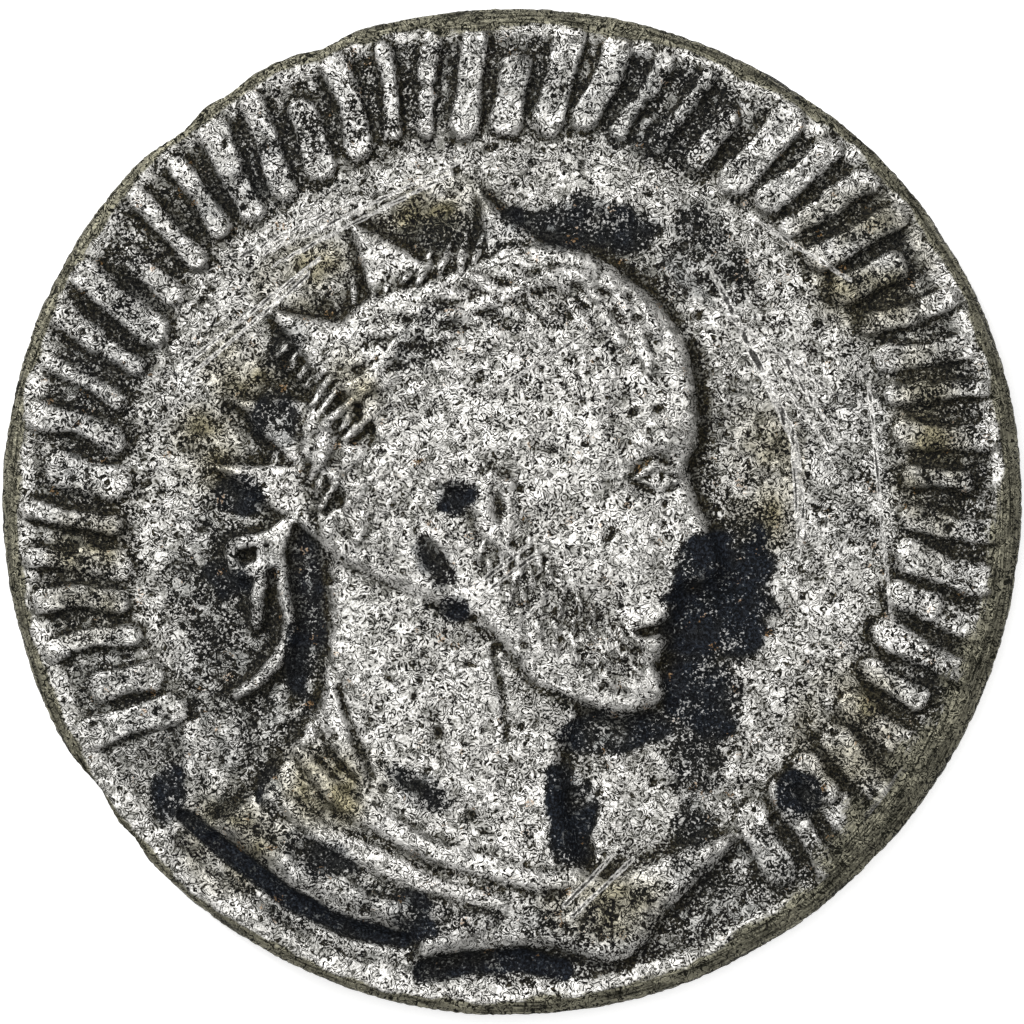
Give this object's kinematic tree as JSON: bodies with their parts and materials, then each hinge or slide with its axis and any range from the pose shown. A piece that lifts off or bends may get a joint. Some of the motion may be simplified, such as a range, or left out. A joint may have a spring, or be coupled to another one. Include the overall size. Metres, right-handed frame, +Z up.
{
  "type": "antoninianus coin",
  "caption": "Worn struck silvered disc with a raised right-facing crowned portrait, a band of shallow strokes round it and a plainer standing figure underneath.",
  "frame": {"origin": "centre of the bounding box on the plane that the coin lies on", "axes": "+Z up out of the portrait side, +Y to the top of the portrait, +X to the side that the portrait looks to"},
  "size_m": [0.0222, 0.0218, 0.0018],
  "materials": {
    "billon": "worn silvered billon, pitted, with dark toning in the hollows"
  },
  "bodies": {
    "root": {"coin": "billon"}
  },
  "joints": []
}
